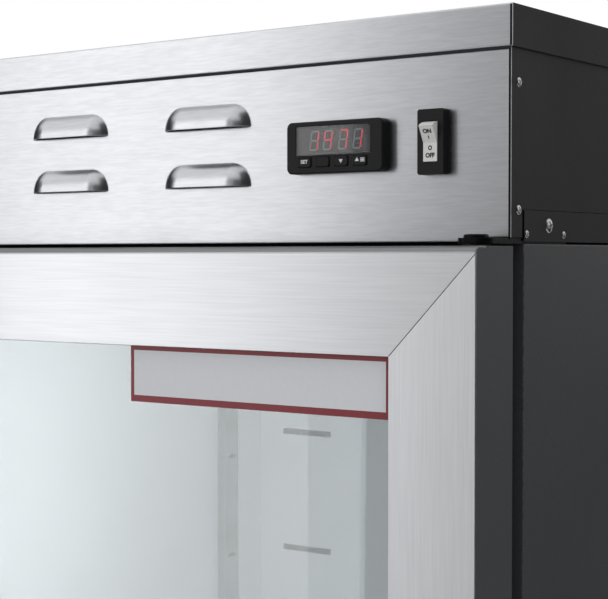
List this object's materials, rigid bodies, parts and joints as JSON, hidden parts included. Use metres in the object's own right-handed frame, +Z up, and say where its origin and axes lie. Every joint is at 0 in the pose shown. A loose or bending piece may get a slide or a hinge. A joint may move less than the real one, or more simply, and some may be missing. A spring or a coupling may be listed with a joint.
{
  "type": "blanket warming cabinet",
  "caption": "Upright insulated warming cabinet with a hinged glass door, wire shelves, a fan-heated chamber and a front control canopy.",
  "frame": {"origin": "centre of the bounding box at floor level, under the levelling feet", "axes": "+Z up from the floor, the door faces -Y, +X to the right seen from the front"},
  "size_m": [0.603, 0.6664, 1.8978],
  "materials": {
    "case_paint": "satin",
    "liner_white": "satin",
    "galvanised": "satin",
    "foam": "matte",
    "black_plastic": "matte",
    "grey_plastic": "matte",
    "brushed_stainless": "satin",
    "chrome_wire": "polished",
    "zinc": "satin",
    "glass": "gloss",
    "window_lens": "gloss",
    "display": "gloss",
    "rubber": "matte",
    "nylon": "matte",
    "ivory_plastic": "satin",
    "motor": "satin",
    "aluminium": "satin",
    "hinge_black": "satin"
  },
  "bodies": {
    "cabinet": {"base_frame": "case_paint", "breaker_frame": "grey_plastic", "canopy_base_tray": "case_paint", "canopy_front_panel": "brushed_stainless", "canopy_rear_panel": "galvanised", "canopy_screws": "zinc", "canopy_side_left": "case_paint", "canopy_side_right": "case_paint", "controller_bezel": "black_plastic", "controller_case": "black_plastic", "controller_clips": "grey_plastic", "controller_window": "window_lens", "display_module": "display", "duct_panel": "liner_white", "fan_grille": "zinc", "fan_motor": "motor", "foam_insulation": "foam", "heater_element": "zinc", "hinge_bracket_bottom": "hinge_black", "hinge_bracket_top": "hinge_black", "hinge_pins": "zinc", "hinge_screws": "zinc", "inner_liner": "liner_white", "lid_front_trim": "brushed_stainless", "lid_panel": "case_paint", "outer_case": "case_paint", "power_inlet": "black_plastic", "rear_panel": "galvanised", "safety_thermostat": "black_plastic", "shelf_clips": "zinc", "shelf_standards": "zinc", "switch_housing": "black_plastic", "temperature_probe": "zinc", "terminal_block": "ivory_plastic", "tray_screws": "zinc", "wire_shelf_1": "chrome_wire", "wire_shelf_2": "chrome_wire", "wire_shelf_3": "chrome_wire", "wire_shelf_4": "chrome_wire"},
    "door": {"door_frame": "black_plastic", "door_trim_top": "brushed_stainless", "door_trim_bottom": "brushed_stainless", "door_trim_left": "brushed_stainless", "door_trim_right": "brushed_stainless", "glass_outer_pane": "glass", "glass_inner_pane": "glass", "glass_spacer": "aluminium", "door_gasket": "rubber", "door_handle": "brushed_stainless", "hinge_bushes": "nylon"},
    "rocker_switch": {"rocker": "ivory_plastic"},
    "fan": {"fan_impeller": "aluminium"},
    "key_set": {"button_set": "black_plastic"},
    "key_mode": {"button_mode": "black_plastic"},
    "key_down": {"button_down": "black_plastic"},
    "key_up": {"button_up": "black_plastic"},
    "foot_front_left": {"levelling_foot_front_left": "zinc"},
    "foot_front_right": {"levelling_foot_front_right": "zinc"},
    "foot_rear_left": {"levelling_foot_rear_left": "zinc"},
    "foot_rear_right": {"levelling_foot_rear_right": "zinc"}
  },
  "joints": [
    {"name": "door_hinge", "type": "hinge", "parent": "cabinet", "child": "door", "pos_m": [0.287, -0.26625, 0.9], "axis": [0, 0, 1], "range_deg": [0, 120], "stiffness_Nm_per_rad": 1.2, "springref_deg": -14.32},
    {"name": "rocker_tilt", "type": "hinge", "parent": "cabinet", "child": "rocker_switch", "pos_m": [0.2483, -0.25325, 1.81755], "axis": [-1, 0, 0], "range_deg": [0, 28]},
    {"name": "fan_spin", "type": "hinge", "parent": "cabinet", "child": "fan", "pos_m": [0, 0.23595, 0.9075], "axis": [0, 1, 0], "continuous": true},
    {"name": "key_set_press", "type": "slide", "parent": "cabinet", "child": "key_set", "axis": [0, 1, 0], "range_m": [0, 0.0006], "stiffness_N_per_m": 300, "springref_m": -0.002},
    {"name": "key_mode_press", "type": "slide", "parent": "cabinet", "child": "key_mode", "axis": [0, 1, 0], "range_m": [0, 0.0006], "stiffness_N_per_m": 300, "springref_m": -0.002},
    {"name": "key_down_press", "type": "slide", "parent": "cabinet", "child": "key_down", "axis": [0, 1, 0], "range_m": [0, 0.0006], "stiffness_N_per_m": 300, "springref_m": -0.002},
    {"name": "key_up_press", "type": "slide", "parent": "cabinet", "child": "key_up", "axis": [0, 1, 0], "range_m": [0, 0.0006], "stiffness_N_per_m": 300, "springref_m": -0.002},
    {"name": "foot_front_left_travel", "type": "slide", "parent": "cabinet", "child": "foot_front_left", "axis": [0, 0, -1], "range_m": [0, 0.012]},
    {"name": "foot_front_right_travel", "type": "slide", "parent": "cabinet", "child": "foot_front_right", "axis": [0, 0, -1], "range_m": [0, 0.012]},
    {"name": "foot_rear_left_travel", "type": "slide", "parent": "cabinet", "child": "foot_rear_left", "axis": [0, 0, -1], "range_m": [0, 0.012]},
    {"name": "foot_rear_right_travel", "type": "slide", "parent": "cabinet", "child": "foot_rear_right", "axis": [0, 0, -1], "range_m": [0, 0.012]}
  ]
}
